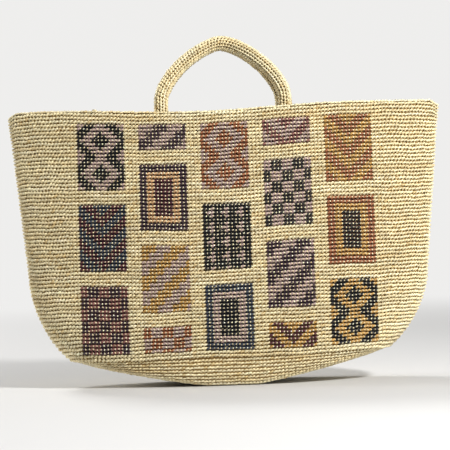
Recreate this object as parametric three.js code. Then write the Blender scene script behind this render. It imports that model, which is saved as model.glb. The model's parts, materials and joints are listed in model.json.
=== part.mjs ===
// A raffia basket bag: a crocheted, boat-bottomed body with colour-worked blocks on its front,
// and two tubular handles whose ends are sewn inside the rim.
// Millimetres, +Z up. The front faces -Y, and the origin is under the middle of the base.
import * as THREE from "three";

// Crochet gauge
const stitchWidth = 3.765;
const roundHeight = 3.85;

// Base: an oval worked round a middle chain, hanging in a shallow boat shape
const baseHalfLength = 165;
const baseHalfDepth = 53;
const baseEdgeHeight = 29;
const baseThickness = 4.2;
const standHalfLength = 24.5;
const standHalfDepth = 41;
const keelPower = 1.2;
const bilgePower = 2.2;
const endSag = 0.09;

// Wall: waterlines that widen from the base's edge to the rim
const rimHeight = 290;
const rimHalfWidth = 226;
const rimHalfDepth = 36;
const cornerHeight = 110;
const cornerHalfWidth = 208.5;
const cornerPower = 1.6;
const cornerFloor = 22;
const bellyHeight = 78;
const bellyHalfDepth = 60;
const baseSquareness = 2.6;
const rimSquareness = 2.05;
const wallThickness = 3.6;

// Rim: a finishing bead along the top edge, which sags left of the middle and dips at the folded ends
const beadHeight = 6.2;
const beadProud = 0.9;
const rimSag = 5.8;
const rimSagMiddle = -30;
const rimSagReach = 160;
const rimDip = 5;
const rimDipReach = 14;
const rimDipFade = 40;
const knotAcross = -133.6;
const knotRadius = 2.6;

// Colour-worked blocks: half-drop columns on the front
const patternWidth = 310;
const blockStitches = 13;
const blockRounds = 18;
const halfBlockRounds = 7;
const spacerStitches = 4;
const spacerRounds = 4;
const plainRoundsOnTop = 2;
const blockThickness = 1.2;

// Handles: a crocheted sleeve over a cord core, bent to an arch
const footSpacing = 128.5;
const backShift = -1.5;
const archRise = 60;
const archPower = 1.5;
const sleeveRadius = 6.8;
const coreRadius = 4.3;
const handleGap = 0.8;

// Feet: the handles' flattened ends, lashed to the inside of the wall
const footLength = 27;
const footProud = 1.5;
const footToeHalfWidth = 9.5;
const footToeHalfDepth = 2.6;
const lashingRadius = 0.9;
const lashingsPerFoot = 3;
const lashingMargin = 5;

const fitGap = 0.3;

// Facet counts
const facetsAround = 56;
const baseRings = 9;
const wallRings = 10;
const wallRingCrowding = 1.8;
const handleSides = 10;
const archSteps = 18;

const naturalRaffia = { color: 0xdcca98, roughness: 0.75, metalness: 0 };
const corePaleCotton = { color: 0xe6dcc6, roughness: 0.9, metalness: 0 };
const dyedRaffia = {
  charcoal: { color: 0x1f1b1f, roughness: 0.7, metalness: 0 },
  plum: { color: 0x43303c, roughness: 0.7, metalness: 0 },
  mauve: { color: 0xa88e8c, roughness: 0.72, metalness: 0 },
  ochre: { color: 0xb98a45, roughness: 0.72, metalness: 0 },
  rust: { color: 0xa4623c, roughness: 0.72, metalness: 0 },
  slate: { color: 0x4f5660, roughness: 0.7, metalness: 0 },
  rose: { color: 0x8f5a58, roughness: 0.72, metalness: 0 },
};

const bag = new THREE.Group();

function addMesh(parent, name, geometry, finish) {
  const mesh = new THREE.Mesh(geometry, new THREE.MeshStandardMaterial(finish));
  mesh.name = name;
  parent.add(mesh);
  return mesh;
}

function mix(from, to, share) {
  return from + (to - from) * share;
}

function smooth(share) {
  const t = Math.min(1, Math.max(0, share));
  return t * t * (3 - 2 * t);
}

// The body's outer surface

const wallRise = rimHeight - baseEdgeHeight;

// Height of the boat-shaped keel at a distance along the base
function keelHeight(x) {
  const rise = Math.max(0, Math.abs(x) - standHalfLength) / (baseHalfLength - standHalfLength);
  return baseEdgeHeight * rise ** keelPower;
}

// The lower corners' round. It would level out at cornerFloor, so the base meets it in a soft angle.
function cornerRound(z) {
  const below = (cornerHeight - z) / (cornerHeight - cornerFloor);
  return (1 - below ** cornerPower) ** (1 / cornerPower);
}

function halfWidthAt(z) {
  if (z >= cornerHeight) {
    return mix(cornerHalfWidth, rimHalfWidth, (z - cornerHeight) / (rimHeight - cornerHeight));
  }
  const atEdge = cornerRound(baseEdgeHeight);
  return mix(baseHalfLength, cornerHalfWidth, (cornerRound(z) - atEdge) / (1 - atEdge));
}

function halfDepthAt(z) {
  if (z >= bellyHeight) {
    const up = (z - bellyHeight) / (rimHeight - bellyHeight);
    return mix(bellyHalfDepth, rimHalfDepth, mix(smooth(up), up, 0.6));
  }
  const below = (bellyHeight - z) / (bellyHeight - baseEdgeHeight);
  return mix(bellyHalfDepth, baseHalfDepth, below ** 2);
}

function squarenessAt(z) {
  return mix(baseSquareness, rimSquareness, (z - baseEdgeHeight) / wallRise);
}

// The base hangs lower at its left end and higher at its right, up to the lower corners
function sagAt(x, z) {
  const share = 1 - smooth((z - baseEdgeHeight) / (cornerHeight - baseEdgeHeight));
  return endSag * Math.sign(x) * keelHeight(x) * share;
}

// How far the rounds hang down, most at the rim and not at all at the base
function slumpAt(x, z) {
  const along = 1 - smooth(Math.abs(x - rimSagMiddle) / rimSagReach);
  return (rimSag * along * (z - baseEdgeHeight)) / wallRise;
}

// How far the rim and the rounds just under it dip towards the folded ends
function dipAt(x, z) {
  const along = smooth((Math.abs(x) - (rimHalfWidth - rimDipReach)) / rimDipReach);
  return rimDip * along ** 2 * smooth((z - (rimHeight - rimDipFade)) / rimDipFade);
}

function signedPower(value, power) {
  return Math.sign(value) * Math.abs(value) ** power;
}

// A point on the body. reach is 0 on the base's middle chain, baseHalfDepth at the base's edge,
// and goes on up the wall by height from there.
function bodyPoint(angle, reach) {
  const z = baseEdgeHeight + Math.max(0, reach - baseHalfDepth);
  const power = 2 / squarenessAt(z);
  const x = halfWidthAt(z) * signedPower(Math.cos(angle), power);
  const y = halfDepthAt(z) * signedPower(Math.sin(angle), power);
  if (reach >= baseHalfDepth) {
    return new THREE.Vector3(x, y, z - dipAt(x, z) - slumpAt(x, z) + sagAt(x, z));
  }
  const out = Math.max(0, reach) / baseHalfDepth;
  const chainX = x * (1 - baseHalfDepth / baseHalfLength);
  const baseX = mix(chainX, x, out);
  const keel = keelHeight(baseX);
  const flat = standHalfDepth / baseHalfDepth;
  const bilge = (Math.max(0, out - flat) / (1 - flat)) ** bilgePower;
  const up = mix(keel, baseEdgeHeight, bilge);
  return new THREE.Vector3(baseX, y * out, up + sagAt(baseX, up));
}

// The same point moved in by depth, square to the surface
function bodyInside(angle, reach, depth) {
  const angleStep = 0.02;
  const reachStep = 1.5;
  const low = Math.max(0, reach - reachStep);
  const along = bodyPoint(angle + angleStep, reach).sub(bodyPoint(angle - angleStep, reach));
  const up = bodyPoint(angle, reach + reachStep).sub(bodyPoint(angle, low));
  const outward = along.cross(up).normalize();
  if (reach <= 0) outward.set(0, 0, -1);
  return bodyPoint(angle, reach).addScaledVector(outward, -depth);
}

// A point on the front (side -1) or back (side 1) face at a given x, moved in by depth
function facePoint(side, x, z, depth) {
  const onFace = (px, pz) => {
    const across = Math.min(1, Math.abs(px) / halfWidthAt(pz));
    const squareness = squarenessAt(pz);
    const y = halfDepthAt(pz) * (1 - across ** squareness) ** (1 / squareness);
    return new THREE.Vector3(px, side * y, pz - slumpAt(px, pz) + sagAt(px, pz));
  };
  const step = 1;
  const along = onFace(x + step, z).sub(onFace(x - step, z));
  const up = onFace(x, z + step).sub(onFace(x, z - step));
  const outward = along.cross(up).normalize().multiplyScalar(-side);
  return onFace(x, z).addScaledVector(outward, -depth);
}

// How far in the wall stands at a height above the floor
function acrossAt(side, x, z, depth) {
  return facePoint(side, x, Math.min(z + slumpAt(x, z), rimHeight), depth).y;
}

// Solids made from grids of points

function gridOf(rows, columns, pointAt) {
  return Array.from({ length: rows }, (_, row) =>
    Array.from({ length: columns }, (_, column) => pointAt(row, column)),
  );
}

class SolidBuilder {
  constructor() {
    this.positions = [];
  }

  triangle(a, b, c) {
    this.positions.push(a.x, a.y, a.z, b.x, b.y, b.z, c.x, c.y, c.z);
  }

  quad(a, b, c, d) {
    this.triangle(a, b, c);
    this.triangle(a, c, d);
  }

  // A sheet of quads, anticlockwise seen from the side where rows go up and columns go right
  sheet(grid, wraps, flipped) {
    const columns = grid[0].length;
    for (let row = 0; row + 1 < grid.length; row += 1) {
      for (let column = 0; column < columns - (wraps ? 0 : 1); column += 1) {
        const next = (column + 1) % columns;
        const corners = [grid[row][column], grid[row][next], grid[row + 1][next], grid[row + 1][column]];
        this.quad(...(flipped ? corners.reverse() : corners));
      }
    }
  }

  // A fan that closes a ring to its middle
  cap(ring, flipped) {
    const middle = ring.reduce((sum, p) => sum.add(p), new THREE.Vector3()).divideScalar(ring.length);
    ring.forEach((point, i) => {
      const next = ring[(i + 1) % ring.length];
      if (flipped) this.triangle(next, point, middle);
      else this.triangle(point, next, middle);
    });
  }

  geometry() {
    const made = new THREE.BufferGeometry();
    made.setAttribute("position", new THREE.Float32BufferAttribute(this.positions, 3));
    made.computeVertexNormals();
    return made;
  }
}

// The strip between the edges of an outer and an inner grid
function edgeStrip(outer, inner) {
  return [outer, inner];
}

// A ring-shaped shell: an outer and an inner grid that wrap round, closed at the listed edges
function ringShell(outer, inner, { lowEdge = true, highEdge = true } = {}) {
  const solid = new SolidBuilder();
  solid.sheet(outer, true, false);
  solid.sheet(inner, true, true);
  if (lowEdge) solid.sheet(edgeStrip(outer[0], inner[0]), true, true);
  if (highEdge) solid.sheet(edgeStrip(outer.at(-1), inner.at(-1)), true, false);
  return solid.geometry();
}

// A patch of shell with four edges
function patchShell(outer, inner) {
  const solid = new SolidBuilder();
  const column = (grid, at) => grid.map((row) => row.at(at));
  solid.sheet(outer, false, false);
  solid.sheet(inner, false, true);
  solid.sheet(edgeStrip(outer[0], inner[0]), false, true);
  solid.sheet(edgeStrip(outer.at(-1), inner.at(-1)), false, false);
  solid.sheet(edgeStrip(column(outer, 0), column(inner, 0)), false, false);
  solid.sheet(edgeStrip(column(outer, -1), column(inner, -1)), false, true);
  return solid.geometry();
}

// A solid skinned over rings of points, with a fan at each end
function skinned(rings) {
  const solid = new SolidBuilder();
  solid.sheet(rings, true, false);
  solid.cap(rings[0], true);
  solid.cap(rings.at(-1), false);
  return solid.geometry();
}

// Base and wall

const aroundAngle = (column) => (2 * Math.PI * column) / facetsAround;

function baseOval() {
  const reachAt = (row) => ((baseHalfDepth - fitGap / 2) * row) / baseRings;
  const shell = (depth) =>
    gridOf(baseRings + 1, facetsAround, (row, column) =>
      bodyInside(aroundAngle(column), reachAt(row), depth),
    );
  return ringShell(shell(0), shell(baseThickness), { lowEdge: false });
}

const wallTop = rimHeight - beadHeight;

function bodyWall() {
  const start = baseHalfDepth + fitGap / 2;
  const rise = baseHalfDepth + wallTop - baseEdgeHeight - start;
  const reachAt = (row) => start + rise * (row / wallRings) ** wallRingCrowding;
  const shell = (depth) =>
    gridOf(wallRings + 1, facetsAround, (row, column) =>
      bodyInside(aroundAngle(column), reachAt(row), depth),
    );
  return ringShell(shell(0), shell(wallThickness));
}

// The bead stands a little proud outside, flush with the wall inside, and its top is rounded
function rimEdging() {
  const foot = wallTop + fitGap;
  const height = rimHeight - foot;
  const roundSteps = 3;
  const outline = Array.from({ length: roundSteps + 1 }, (_, i) => {
    const turn = (i / roundSteps) * (Math.PI / 2);
    return { up: foot + height * mix(0.45, 1, Math.sin(turn)), in: 1 - Math.cos(turn) };
  });
  const middle = (wallThickness - beadProud) / 2;
  const section = (column, outerDepth) =>
    [{ up: foot, in: 0 }, ...outline].map((p) => {
      const reach = baseHalfDepth + p.up - baseEdgeHeight;
      return bodyInside(aroundAngle(column), reach, mix(outerDepth, middle, p.in * 0.62));
    });
  const ringsOf = (outerDepth) => {
    const columns = Array.from({ length: facetsAround }, (_, column) => section(column, outerDepth));
    return gridOf(outline.length + 1, facetsAround, (row, column) => columns[column][row]);
  };
  return ringShell(ringsOf(-beadProud), ringsOf(wallThickness));
}

addMesh(bag, "base_oval", baseOval(), naturalRaffia);
addMesh(bag, "body_wall", bodyWall(), naturalRaffia);
addMesh(bag, "rim_edging", rimEdging(), naturalRaffia);

// The knot where the last round was fastened off
const knotMiddle = (wallThickness - beadProud) / 2;
const knot = addMesh(
  bag,
  "fasten_off_knot",
  new THREE.SphereGeometry(knotRadius, 10, 8),
  naturalRaffia,
);
knot.position.copy(facePoint(-1, knotAcross, rimHeight, knotMiddle));
knot.position.z = rimHeight - slumpAt(knotAcross, rimHeight) + fitGap + knotRadius;

// Colour-worked blocks

const blockRow = blockRounds + spacerRounds;
const wallRounds = Math.floor(wallTop / roundHeight - baseEdgeHeight / roundHeight);
const rowsOfBlocks = Math.floor((wallRounds - plainRoundsOnTop + spacerRounds) / blockRow);
const columnWidth = blockStitches + spacerStitches;
const columnsEachSide = Math.floor(
  (patternWidth / stitchWidth - blockStitches) / (2 * columnWidth),
);

// The first round and the number of rounds of each block in a column, counted down from the wall's top
function blocksInColumn(halfDrop) {
  if (!halfDrop) {
    return Array.from({ length: rowsOfBlocks }, (_, i) => [i * blockRow, blockRounds]);
  }
  const full = Array.from({ length: rowsOfBlocks - 1 }, (_, i) => [
    halfBlockRounds + spacerRounds + i * blockRow,
    blockRounds,
  ]);
  const last = halfBlockRounds + spacerRounds + (rowsOfBlocks - 1) * blockRow;
  return [[0, halfBlockRounds], ...full, [last, halfBlockRounds]];
}

function colourBlock(middleX, firstRound, rounds) {
  const high = wallTop - (plainRoundsOnTop + firstRound) * roundHeight;
  const low = high - rounds * roundHeight;
  const width = blockStitches * stitchWidth;
  const turnsUnder = low < cornerHeight;
  const stepsAcross = turnsUnder ? 6 : 4;
  const stepsUp = Math.ceil(rounds / (turnsUnder ? 2 : 4));
  const sheet = (depth) =>
    gridOf(stepsUp + 1, stepsAcross + 1, (row, column) =>
      facePoint(
        -1,
        middleX + width * (column / stepsAcross - 0.5),
        mix(low, high, row / stepsUp),
        depth,
      ),
    );
  return patchShell(sheet(-fitGap - blockThickness), sheet(-fitGap));
}

const blockColours = ["charcoal", "ochre", "mauve", "slate", "rust", "plum", "rose"];
const colourStepAcross = 2;
const colourStepDown = 3;
for (let column = 0; column <= 2 * columnsEachSide; column += 1) {
  const middleX = (column - columnsEachSide) * columnWidth * stitchWidth;
  blocksInColumn(column % 2 === 1).forEach(([firstRound, rounds], place) => {
    const colour = (column * colourStepAcross + place * colourStepDown) % blockColours.length;
    addMesh(
      bag,
      `front_block_c${column + 1}_${place + 1}`,
      colourBlock(middleX, firstRound, rounds),
      dyedRaffia[blockColours[colour]],
    );
  });
}

// Handle feet and their lashings

const footTop = rimHeight + footProud;
const footClear = wallThickness + fitGap;

// Half-width and half-depth of a foot, from its toe (0) to its round top (1)
function footSize(up) {
  const share = smooth(up);
  return {
    wide: mix(footToeHalfWidth, sleeveRadius, share),
    deep: mix(footToeHalfDepth, sleeveRadius, share),
  };
}

// The foot's middle at a height, set in from the wall by its own half-depth
function footMiddle(side, x, up) {
  const z = footTop - footLength * (1 - up);
  const size = footSize(up);
  return { at: new THREE.Vector3(x, acrossAt(side, x, z, footClear + size.deep), z), ...size };
}

function handleFoot(side, x) {
  const rings = 6;
  const loops = Array.from({ length: rings + 1 }, (_, ring) => {
    const middle = footMiddle(side, x, ring / rings);
    return Array.from({ length: handleSides }, (_, i) => {
      const turn = (2 * Math.PI * i) / handleSides;
      const offset = new THREE.Vector3(
        middle.wide * Math.cos(turn),
        middle.deep * Math.sin(turn),
        0,
      );
      return middle.at.clone().add(offset);
    });
  });
  return skinned(loops);
}

// A strand over the foot, from the wall on one side to the wall on the other
function lashing(side, x, up) {
  const middle = footMiddle(side, x, up);
  const wide = middle.wide + fitGap + lashingRadius;
  const deep = middle.deep + fitGap + lashingRadius;
  const arcSteps = 8;
  const sides = 6;
  const endAt = (across) => {
    const onWall = acrossAt(side, x + across, middle.at.z, footClear);
    return new THREE.Vector3(across, onWall - middle.at.y, 0);
  };
  const points = [endAt(wide)];
  for (let i = 0; i <= arcSteps; i += 1) {
    const turn = (Math.PI * i) / arcSteps;
    points.push(new THREE.Vector3(wide * Math.cos(turn), -side * deep * Math.sin(turn), 0));
  }
  points.push(endAt(-wide));
  const loops = points.map((point, i) => {
    const before = points[Math.max(0, i - 1)];
    const after = points[Math.min(points.length - 1, i + 1)];
    const along = after.clone().sub(before).normalize();
    const outward = new THREE.Vector3(0, 0, 1).cross(along).normalize();
    return Array.from({ length: sides }, (_, k) => {
      const turn = (2 * Math.PI * k) / sides;
      return middle.at
        .clone()
        .add(point)
        .addScaledVector(outward, lashingRadius * Math.cos(turn))
        .add(new THREE.Vector3(0, 0, lashingRadius * Math.sin(turn)));
    });
  });
  return skinned(loops);
}

// Handles

const axisHeight = footTop + fitGap + sleeveRadius;

// The back handle was sewn in a little off the middle
const handles = [
  { sideName: "front", side: -1, middle: 0, halfSpan: footSpacing / 2 },
  { sideName: "back", side: 1, middle: backShift, halfSpan: footSpacing / 2 },
];

function hingeAcross({ side, middle, halfSpan }) {
  return footMiddle(side, halfSpan + Math.abs(middle), 1).at.y;
}

// Both handles lean in until their arches almost touch
function handleLean(handle) {
  const inward = Math.abs(hingeAcross(handle)) - sleeveRadius - handleGap / 2;
  return Math.asin(inward / archRise);
}

// The arch in its own plane: x across, z up, starting and ending on the hinge line
class ArchCurve extends THREE.Curve {
  constructor(halfSpan) {
    super();
    this.halfSpan = halfSpan;
  }

  getPoint(share, target = new THREE.Vector3()) {
    const turn = Math.PI * (1 - share);
    const across = signedPower(Math.cos(turn), 2 / archPower);
    const up = Math.abs(Math.sin(turn)) ** (2 / archPower);
    return target.set(this.halfSpan * across, 0, archRise * up);
  }
}

// Rings of a tube round the arch. Below the hinge line its ends keep inside a ball about that line,
// down to lowest.
function archRings(halfSpan, radius, lowest) {
  const arch = new ArchCurve(halfSpan);
  const endSteps = 3;
  const ends = Array.from({ length: endSteps }, (_, i) => {
    const depth = lowest * (1 - i / endSteps);
    return { depth, radius: Math.min(radius, Math.sqrt(sleeveRadius ** 2 - depth ** 2)) };
  });
  const below = (x, end) => ({
    at: new THREE.Vector3(x, 0, -end.depth),
    out: new THREE.Vector3(Math.sign(x), 0, 0),
    radius: end.radius,
  });
  const stations = ends.map((end) => below(-halfSpan, end));
  for (let i = 0; i <= archSteps; i += 1) {
    const share = i / archSteps;
    const along = arch.getTangent(share);
    const out = new THREE.Vector3(-along.z, 0, along.x);
    stations.push({ at: arch.getPoint(share), out, radius });
  }
  ends.toReversed().forEach((end) => stations.push(below(halfSpan, end)));
  return stations.map((station) =>
    Array.from({ length: handleSides }, (_, k) => {
      const turn = (2 * Math.PI * k) / handleSides;
      return station.at
        .clone()
        .addScaledVector(station.out, station.radius * Math.cos(turn))
        .add(new THREE.Vector3(0, -station.radius * Math.sin(turn), 0));
    }),
  );
}

const sleeveBore = coreRadius + fitGap;
const sleeveLowest = Math.sqrt(sleeveRadius ** 2 - (sleeveBore + fitGap) ** 2);
const coreTip = 0.1;

function handleSleeve(halfSpan) {
  return ringShell(
    archRings(halfSpan, sleeveRadius, sleeveLowest),
    archRings(halfSpan, sleeveBore, sleeveLowest),
  );
}

// The core's plugged ends fill out the ball, so the handle rests on its feet at any angle
function handleCore(halfSpan) {
  return skinned(archRings(halfSpan, coreRadius, sleeveRadius - coreTip));
}

for (const made of handles) {
  const { sideName, side, middle, halfSpan } = made;
  for (const [footName, x] of [["left", middle - halfSpan], ["right", middle + halfSpan]]) {
    addMesh(bag, `${sideName}_${footName}_foot`, handleFoot(side, x), naturalRaffia);
    for (let i = 0; i < lashingsPerFoot; i += 1) {
      const lowest = lashingMargin / footLength;
      const highest = 1 - (footProud + beadHeight + lashingMargin) / footLength;
      const up = mix(lowest, highest, i / (lashingsPerFoot - 1));
      addMesh(bag, `${sideName}_${footName}_lashing_${i + 1}`, lashing(side, x, up), naturalRaffia);
    }
  }
  const handle = new THREE.Group();
  handle.position.set(middle, hingeAcross(made), axisHeight);
  handle.rotation.x = side * handleLean(made);
  addMesh(handle, `${sideName}_handle_sleeve`, handleSleeve(halfSpan), naturalRaffia);
  addMesh(handle, `${sideName}_handle_core`, handleCore(halfSpan), corePaleCotton);
  bag.add(handle);
}

export default bag;
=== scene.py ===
import json
import math

import bmesh
import bpy
import numpy as np
from mathutils import Matrix, Vector


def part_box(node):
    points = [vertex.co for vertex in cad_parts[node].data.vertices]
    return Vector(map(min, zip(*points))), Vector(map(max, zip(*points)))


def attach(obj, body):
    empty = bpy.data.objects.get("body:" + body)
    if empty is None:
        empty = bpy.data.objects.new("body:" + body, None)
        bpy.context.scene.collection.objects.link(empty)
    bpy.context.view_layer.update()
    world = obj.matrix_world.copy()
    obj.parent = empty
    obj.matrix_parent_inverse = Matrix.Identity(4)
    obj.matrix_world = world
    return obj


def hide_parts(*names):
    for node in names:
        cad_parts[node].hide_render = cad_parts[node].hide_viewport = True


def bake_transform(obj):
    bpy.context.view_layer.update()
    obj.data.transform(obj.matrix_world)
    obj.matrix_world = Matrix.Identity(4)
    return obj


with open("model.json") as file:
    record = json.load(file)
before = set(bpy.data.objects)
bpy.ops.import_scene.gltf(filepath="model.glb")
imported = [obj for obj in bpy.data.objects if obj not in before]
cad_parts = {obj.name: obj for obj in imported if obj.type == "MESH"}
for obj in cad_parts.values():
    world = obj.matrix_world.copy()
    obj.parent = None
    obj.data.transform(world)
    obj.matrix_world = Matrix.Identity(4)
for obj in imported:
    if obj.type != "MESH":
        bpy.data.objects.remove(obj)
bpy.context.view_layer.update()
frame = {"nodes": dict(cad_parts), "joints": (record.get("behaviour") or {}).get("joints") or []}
dice = np.random.default_rng(11)
scene = bpy.context.scene
print("frame loaded,", len(frame["nodes"]), "nodes")


# Yarn colours, as sRGB
yarnCodes = {
    "natural": "#ece0b8",
    "straw": "#d6bd87",
    "pith": "#f6efd9",
    # painted shade: the colour of the shadowed gaps between the stitches, not a yarn
    "shadow": "#94753f",
    "charcoal": "#151113",
    "plum": "#432f38",
    "mauve": "#b29a92",
    "slate": "#3a404c",
    "maroon": "#50232a",
    "ochre": "#bd9350",
    "rust": "#9d6240",
    "rose": "#8a5b55",
    "apricot": "#d0a577",
}


def linear(code):
    parts = [int(code[i:i + 2], 16) / 255 for i in (1, 3, 5)]
    return np.array([c / 12.92 if c <= 0.04045 else ((c + 0.055) / 1.055) ** 2.4 for c in parts])


yarn = {name: linear(code) for name, code in yarnCodes.items()}


# The bag's outer surface, in metres: an oval boat base, then waterlines up to a lens-shaped rim
bagForm = {
    "baseHalfLength": 0.165,
    "baseHalfDepth": 0.053,
    "baseEdge": 0.029,
    "standHalfLength": 0.0245,
    "standHalfDepth": 0.041,
    "keelPower": 1.2,
    "bilgePower": 2.2,
    "endSag": 0.09,  # the left end of the base hangs lower, the right end higher
    "rimHeight": 0.290,
    "rimHalfWidth": 0.226,
    "rimHalfDepth": 0.036,
    "cornerHeight": 0.110,
    "cornerHalfWidth": 0.2085,
    "cornerPower": 1.6,
    "cornerFloor": 0.022,
    "bellyHeight": 0.078,
    "bellyHalfDepth": 0.060,
    "faceStraightness": 0.6,  # above the belly, from a swung curve at 0 to a straight line at 1
    "baseSquareness": 2.6,
    "rimSquareness": 2.05,
    "rimDip": 0.005,
    "rimDipReach": 0.014,
    "rimDipFade": 0.040,
    "rimSag": 0.0058,  # how far the rounds hang down, most at the rim
    "rimSagMiddle": -0.030,
    "rimSagReach": 0.160,
    "rimBand": 0.0062,  # height of the rim's last round
    "wallThickness": 0.0036,
}
# Slack cloth: waves per metre across and up, their start, their way round on the back, their share
slack = {
    "depth": 0.011,  # share of the bag's depth
    "waves": ((23, 17, 0.0, 1, 1.0), (41, -29, 1.3, 1, 1.0), (67, 52, 4.0, -1, 0.7)),
    "backStart": 2.1,
    "clearOfRim": 0.035,
    "fadeAtRim": 0.06,
    "fadeAtBase": 0.03,
}
# Steps to each side, for the directions of the surface
probe = {"turn": 0.01, "rise": 0.001}
millimetre = 0.001


def mix(a, b, share):
    return a + (b - a) * share


def smooth(share):
    share = np.clip(share, 0, 1)
    return share * share * (3 - 2 * share)


def unit(vectors):
    return vectors / np.linalg.norm(vectors, axis=-1, keepdims=True)


def runAlong(points):
    # length from the first point to each of them
    steps = np.linalg.norm(np.diff(points, axis=0), axis=1)
    return np.concatenate([[0], np.cumsum(steps)])


def pointsAt(where, run, points):
    return np.stack([np.interp(where, run, points[:, i]) for i in range(points.shape[1])], 1)


def cornerRound(z):
    f = bagForm
    below = np.clip((f["cornerHeight"] - z) / (f["cornerHeight"] - f["cornerFloor"]), 0, 1)
    return (1 - below ** f["cornerPower"]) ** (1 / f["cornerPower"])


def halfWidthAt(z):
    f = bagForm
    above = (z - f["cornerHeight"]) / (f["rimHeight"] - f["cornerHeight"])
    atEdge = cornerRound(f["baseEdge"])
    rounded = (cornerRound(z) - atEdge) / (1 - atEdge)
    upper = mix(f["cornerHalfWidth"], f["rimHalfWidth"], above)
    lower = mix(f["baseHalfLength"], f["cornerHalfWidth"], rounded)
    return np.where(z >= f["cornerHeight"], upper, lower)


def halfDepthAt(z):
    f = bagForm
    up = (z - f["bellyHeight"]) / (f["rimHeight"] - f["bellyHeight"])
    down = np.clip((f["bellyHeight"] - z) / (f["bellyHeight"] - f["baseEdge"]), 0, 1)
    upper = mix(f["bellyHalfDepth"], f["rimHalfDepth"], mix(smooth(up), up, f["faceStraightness"]))
    lower = mix(f["bellyHalfDepth"], f["baseHalfDepth"], down ** 2)
    return np.where(z >= f["bellyHeight"], upper, lower)


def squarenessAt(z):
    f = bagForm
    share = (z - f["baseEdge"]) / (f["rimHeight"] - f["baseEdge"])
    return mix(f["baseSquareness"], f["rimSquareness"], share)


def keelHeight(x):
    f = bagForm
    along = np.maximum(0, np.abs(x) - f["standHalfLength"])
    return f["baseEdge"] * (along / (f["baseHalfLength"] - f["standHalfLength"])) ** f["keelPower"]


def sagAt(x, z):
    f = bagForm
    share = 1 - smooth((z - f["baseEdge"]) / (f["cornerHeight"] - f["baseEdge"]))
    return f["endSag"] * np.sign(x) * keelHeight(x) * share


def slumpAt(x, z):
    f = bagForm
    along = 1 - smooth(np.abs(x - f["rimSagMiddle"]) / f["rimSagReach"])
    return f["rimSag"] * along * (z - f["baseEdge"]) / (f["rimHeight"] - f["baseEdge"])


def dentAt(x, y, z):
    # shallow bulges and hollows, other ones on the back, none at the rim and the base
    face = np.where(y < 0, 0.0, slack["backStart"])
    wave = 0
    for across, up, start, way, share in slack["waves"]:
        wave = wave + share * np.sin(across * x + up * z + start + way * face)
    upper = smooth((bagForm["rimHeight"] - slack["clearOfRim"] - z) / slack["fadeAtRim"])
    lower = smooth((z - bagForm["baseEdge"]) / slack["fadeAtBase"])
    return slack["depth"] * wave * upper * lower


def bodyPoint(angle, reach):
    # reach is 0 on the base's middle line, baseHalfDepth at its edge, and goes on up the wall by height
    f = bagForm
    angle, reach = np.broadcast_arrays(np.asarray(angle, float), np.asarray(reach, float))
    z = f["baseEdge"] + np.maximum(0, reach - f["baseHalfDepth"])
    power = 2 / squarenessAt(z)
    cosine, sine = np.cos(angle), np.sin(angle)
    x = halfWidthAt(z) * np.sign(cosine) * np.abs(cosine) ** power
    y = halfDepthAt(z) * np.sign(sine) * np.abs(sine) ** power
    y = y * (1 + dentAt(x, y, z))
    endward = smooth((np.abs(x) - (f["rimHalfWidth"] - f["rimDipReach"])) / f["rimDipReach"])
    fade = smooth((z - (f["rimHeight"] - f["rimDipFade"])) / f["rimDipFade"])
    height = z - f["rimDip"] * endward ** 2 * fade - slumpAt(x, z) + sagAt(x, z)
    wall = np.stack([x, y, height], -1)
    out = np.clip(reach / f["baseHalfDepth"], 0, 1)
    baseX = mix(x * (1 - f["baseHalfDepth"] / f["baseHalfLength"]), x, out)
    flat = f["standHalfDepth"] / f["baseHalfDepth"]
    bilge = (np.maximum(0, out - flat) / (1 - flat)) ** f["bilgePower"]
    up = mix(keelHeight(baseX), f["baseEdge"], bilge)
    base = np.stack([baseX, y * out, up + sagAt(baseX, up)], -1)
    return np.where((reach >= f["baseHalfDepth"])[..., None], wall, base)


def bodyFrames(angle, reach, depth=0.0):
    turn, rise = probe["turn"], probe["rise"]
    along = bodyPoint(angle + turn, reach) - bodyPoint(angle - turn, reach)
    up = bodyPoint(angle, reach + rise) - bodyPoint(angle, np.maximum(reach - rise, 0))
    out = unit(np.cross(along, up))
    along = unit(along)
    at = bodyPoint(angle, reach) - out * depth
    return {"at": at, "along": along, "up": np.cross(out, along), "out": out}


def turnedInside(places):
    # the same places seen from inside the bag
    return {**places, "along": -places["along"], "out": -places["out"]}


# Shader maths: a socket that can be used in a Python expression
class Value:
    def __init__(self, shade, socket):
        self.shade = shade
        self.socket = socket

    def maths(self, operation, first, second):
        return self.shade.node("ShaderNodeMath", {"operation": operation}, {0: first, 1: second})

    def __add__(self, other):
        return self.maths("ADD", self, other)

    def __sub__(self, other):
        return self.maths("SUBTRACT", self, other)

    def __rsub__(self, other):
        return self.maths("SUBTRACT", other, self)

    def __mul__(self, other):
        return self.maths("MULTIPLY", self, other)

    def __pow__(self, other):
        return self.maths("POWER", self, other)

    __radd__ = __add__


class Shade:
    def __init__(self, owner):
        owner.use_nodes = True
        self.owner = owner
        self.tree = owner.node_tree

    def feed(self, socket, value):
        if isinstance(value, Value):
            self.tree.links.new(value.socket, socket)
        else:
            socket.default_value = value

    def node(self, kind, settings=None, inputs=None, output=0):
        made = self.tree.nodes.new(kind)
        for name, setting in (settings or {}).items():
            setattr(made, name, setting)
        for name, value in (inputs or {}).items():
            self.feed(made.inputs[name], value)
        return Value(self, made.outputs[output])

    def tinted(self, colour, factor):
        # a colour made lighter or darker by a number that changes over the surface
        grey = self.node("ShaderNodeCombineColor", None, {0: factor, 1: factor, 2: factor})
        settings = {"data_type": "RGBA", "blend_type": "MULTIPLY"}
        return self.node("ShaderNodeMix", settings, {0: 1.0, 6: colour, 7: grey}, 2)

    def finish(self, sockets):
        surface = self.tree.nodes["Principled BSDF"]
        for name, value in sockets.items():
            self.feed(surface.inputs[name], value)
        return self.owner


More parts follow.
